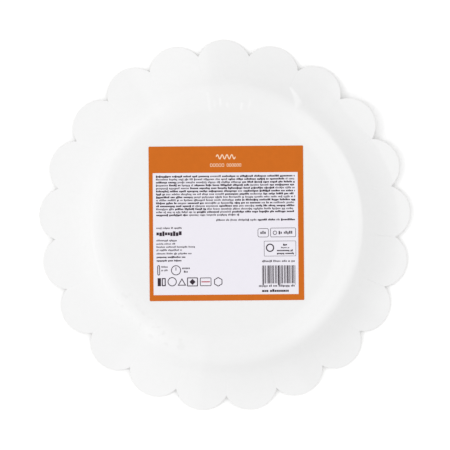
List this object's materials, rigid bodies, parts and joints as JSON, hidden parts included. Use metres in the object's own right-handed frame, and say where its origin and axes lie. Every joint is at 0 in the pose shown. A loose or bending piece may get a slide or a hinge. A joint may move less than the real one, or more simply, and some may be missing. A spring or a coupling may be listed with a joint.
{
  "type": "paper plate",
  "caption": "Round white paper plate with a scalloped rim, pressed foot ring and shallow well, lying face down with a plain sticker on its underside.",
  "frame": {"origin": "on the plate's axis, in the plane that the rim rests on when the plate lies face down", "axes": "+Z along the plate's axis, out of its underside; +Y towards the tip of one scallop and the top edge of the sticker; +X to the right of it, seen from above the underside"},
  "size_m": [0.1796, 0.1791, 0.014],
  "materials": {
    "plate_board": "white coated board, smooth and faintly satin",
    "label_paper": "white self-adhesive paper, matt",
    "label_ink": "orange print on the sticker's paper, matt"
  },
  "bodies": {
    "root": {"plate": "plate_board", "label": "label_paper", "label_border": "label_ink"}
  },
  "joints": []
}
